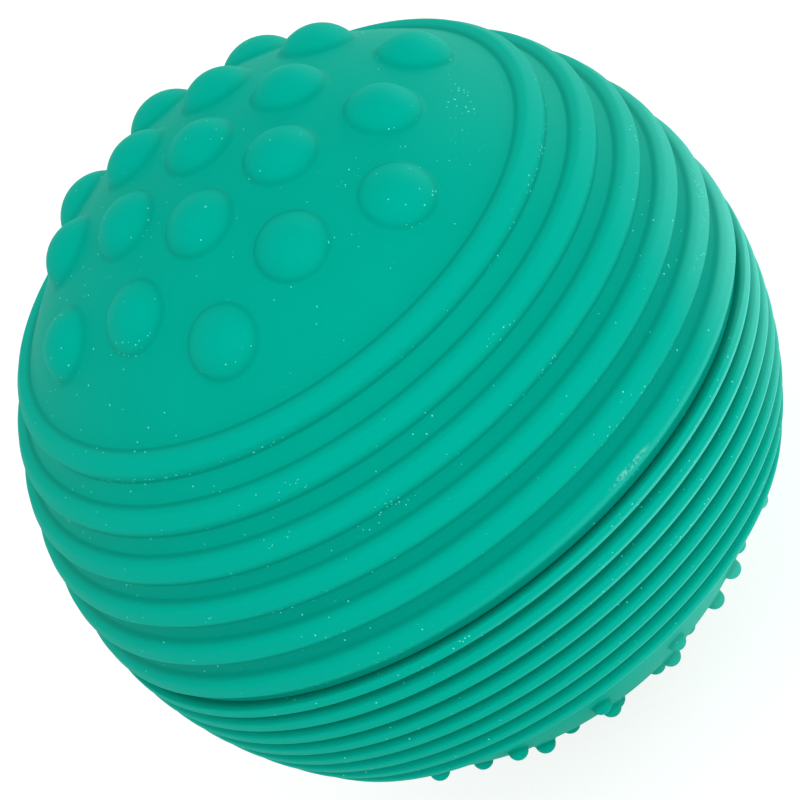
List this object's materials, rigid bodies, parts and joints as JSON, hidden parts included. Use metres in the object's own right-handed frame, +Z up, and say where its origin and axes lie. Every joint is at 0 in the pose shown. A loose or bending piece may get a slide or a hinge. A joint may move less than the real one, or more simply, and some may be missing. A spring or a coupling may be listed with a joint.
{
  "type": "sensory ball",
  "caption": "Hollow rubber sensory ball with zones of domes, broad ribs, fine ribs and nubs, moulded as bonded half shells, with a pull-out valve plug at the nub pole.",
  "frame": {"origin": "under the middle of the ball, on the plane that the innermost ring of nubs stands on", "axes": "+Z up along the ball's axis from the valve and the nub pole to the dome pole; +X through one line of domes, which repeat every 60 degrees round +Z"},
  "size_m": [0.08, 0.08, 0.0803],
  "materials": {
    "ball_rubber": "matte, slightly dusty moulded rubber",
    "rubber_cement": "matte cured rubber cement",
    "valve_rubber": "smooth soft rubber"
  },
  "bodies": {
    "ball": {"dome_half": "ball_rubber", "nub_half": "ball_rubber", "seam_cement": "rubber_cement", "valve_bush": "valve_rubber"},
    "plug": {"valve_plug": "valve_rubber"}
  },
  "joints": [
    {"name": "plug_pull", "type": "slide", "parent": "ball", "child": "plug", "axis": [0, 0, -1], "range_m": [0, 0.013]}
  ]
}
